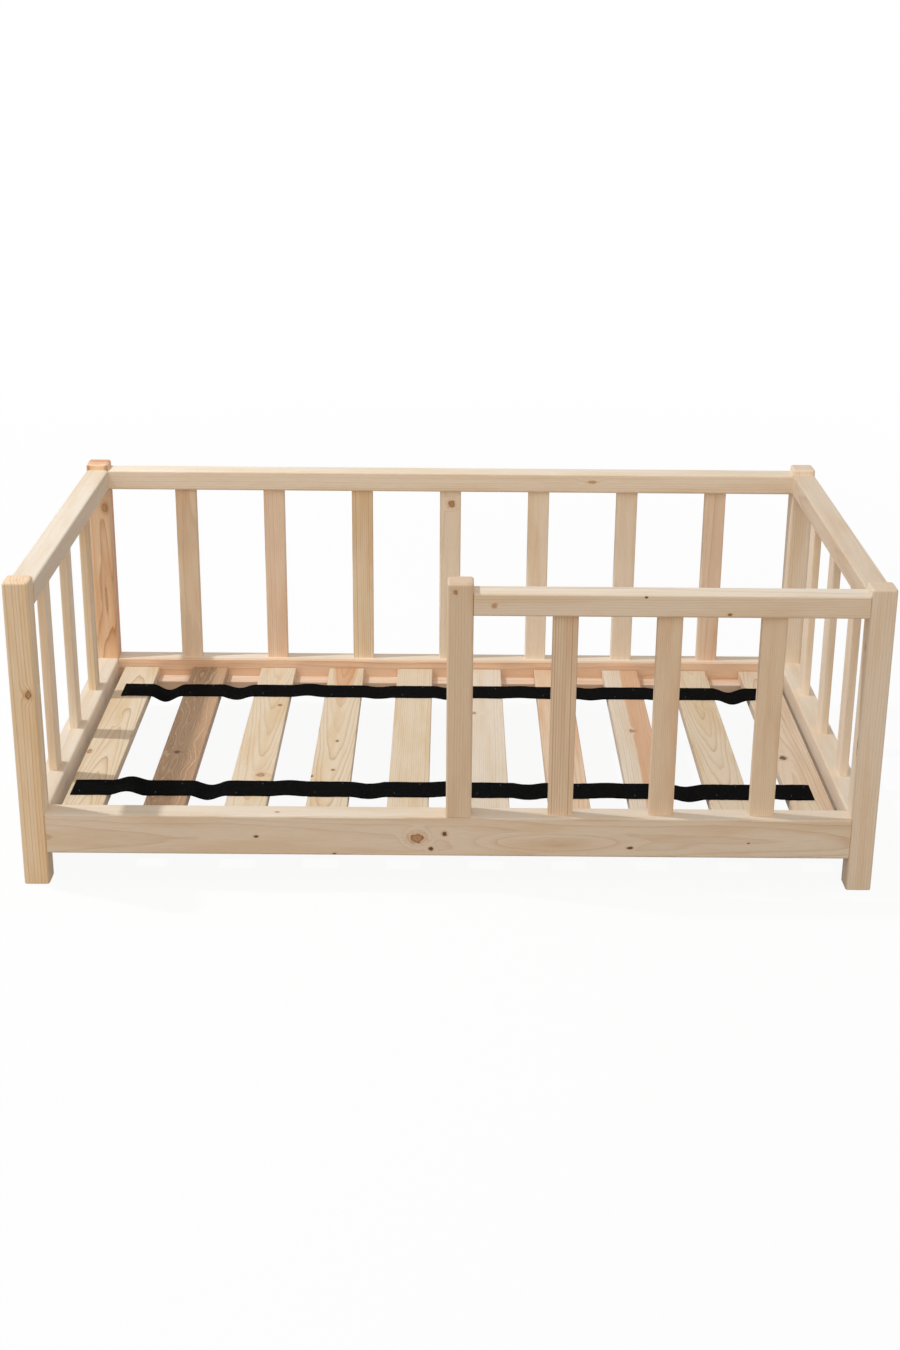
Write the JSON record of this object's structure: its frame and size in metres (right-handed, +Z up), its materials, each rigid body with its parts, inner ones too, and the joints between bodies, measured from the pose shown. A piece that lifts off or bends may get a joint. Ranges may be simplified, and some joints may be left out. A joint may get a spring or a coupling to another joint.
{
  "type": "toddler floor bed",
  "caption": "Low open wooden floor bed for a toddler: corner posts, rails and flat balusters on three sides, a half guard rail, and a loose webbed slat base that lifts out and rolls up.",
  "frame": {"origin": "on the floor, under the middle of the bed", "axes": "+X along the bed, to the right as seen from the entry side; +Y from the entry side to the back; +Z up"},
  "size_m": [1.41, 0.784, 0.531],
  "materials": {
    "spruce": "planed, unfinished",
    "spruce_slat": "planed, unfinished",
    "webbing": "woven",
    "dowel_beech": "fluted",
    "zinc_steel": "zinc plated"
  },
  "bodies": {
    "frame": {"post_front_left": "spruce", "post_front_right": "spruce", "post_back_left": "spruce", "post_back_right": "spruce", "entry_post": "spruce", "side_rail_front": "spruce", "side_rail_back": "spruce", "end_rail_left": "spruce", "end_rail_right": "spruce", "top_rail_back": "spruce", "top_rail_left": "spruce", "top_rail_right": "spruce", "guard_rail": "spruce", "baluster_back_1": "spruce", "baluster_back_2": "spruce", "baluster_back_3": "spruce", "baluster_back_4": "spruce", "baluster_back_5": "spruce", "baluster_back_6": "spruce", "baluster_back_7": "spruce", "baluster_front_1": "spruce", "baluster_front_2": "spruce", "baluster_front_3": "spruce", "baluster_left_1": "spruce", "baluster_left_2": "spruce", "baluster_left_3": "spruce", "baluster_right_1": "spruce", "baluster_right_2": "spruce", "baluster_right_3": "spruce", "ledge_front": "spruce", "ledge_back": "spruce", "dowels": "dowel_beech", "bed_bolts": "zinc_steel", "entry_post_bolt": "zinc_steel", "barrel_nuts": "zinc_steel", "ledge_screws": "zinc_steel"},
    "base_1": {"slat_1": "spruce_slat", "webbing_1": "webbing"},
    "base_2": {"slat_2": "spruce_slat", "webbing_2": "webbing"},
    "base_3": {"slat_3": "spruce_slat", "webbing_3": "webbing"},
    "base_4": {"slat_4": "spruce_slat", "webbing_4": "webbing"},
    "base_5": {"slat_5": "spruce_slat", "webbing_5": "webbing"},
    "base_6": {"slat_6": "spruce_slat", "webbing_6": "webbing"},
    "base_7": {"slat_7": "spruce_slat", "webbing_7": "webbing"},
    "base_8": {"slat_8": "spruce_slat", "webbing_8": "webbing"},
    "base_9": {"slat_9": "spruce_slat", "webbing_9": "webbing"},
    "base_10": {"slat_10": "spruce_slat", "webbing_10": "webbing"}
  },
  "joints": [
    {"name": "base_lift", "type": "slide", "parent": "frame", "child": "base_5", "axis": [0, 0, 1], "range_m": [0, 0.46]},
    {"name": "roll_1", "type": "hinge", "parent": "base_2", "child": "base_1", "pos_m": [-0.54711, 0, 0.12], "axis": [0, 1, 0], "range_deg": [0, 34]},
    {"name": "roll_2", "type": "hinge", "parent": "base_3", "child": "base_2", "pos_m": [-0.41033, 0, 0.12], "axis": [0, 1, 0], "range_deg": [0, 34]},
    {"name": "roll_3", "type": "hinge", "parent": "base_4", "child": "base_3", "pos_m": [-0.27356, 0, 0.12], "axis": [0, 1, 0], "range_deg": [0, 34]},
    {"name": "roll_4", "type": "hinge", "parent": "base_5", "child": "base_4", "pos_m": [-0.13678, 0, 0.12], "axis": [0, 1, 0], "range_deg": [0, 34]},
    {"name": "roll_5", "type": "hinge", "parent": "base_5", "child": "base_6", "pos_m": [0, 0, 0.12], "axis": [0, -1, 0], "range_deg": [0, 34]},
    {"name": "roll_6", "type": "hinge", "parent": "base_6", "child": "base_7", "pos_m": [0.13678, 0, 0.12], "axis": [0, -1, 0], "range_deg": [0, 34]},
    {"name": "roll_7", "type": "hinge", "parent": "base_7", "child": "base_8", "pos_m": [0.27356, 0, 0.12], "axis": [0, -1, 0], "range_deg": [0, 34]},
    {"name": "roll_8", "type": "hinge", "parent": "base_8", "child": "base_9", "pos_m": [0.41033, 0, 0.12], "axis": [0, -1, 0], "range_deg": [0, 34]},
    {"name": "roll_9", "type": "hinge", "parent": "base_9", "child": "base_10", "pos_m": [0.54711, 0, 0.12], "axis": [0, -1, 0], "range_deg": [0, 34]}
  ],
  "couplings": [
    {"joint": "roll_1", "follows": "roll_5", "ratio": 1},
    {"joint": "roll_2", "follows": "roll_5", "ratio": 1},
    {"joint": "roll_3", "follows": "roll_5", "ratio": 1},
    {"joint": "roll_4", "follows": "roll_5", "ratio": 1},
    {"joint": "roll_6", "follows": "roll_5", "ratio": 1},
    {"joint": "roll_7", "follows": "roll_5", "ratio": 1},
    {"joint": "roll_8", "follows": "roll_5", "ratio": 1},
    {"joint": "roll_9", "follows": "roll_5", "ratio": 1}
  ]
}
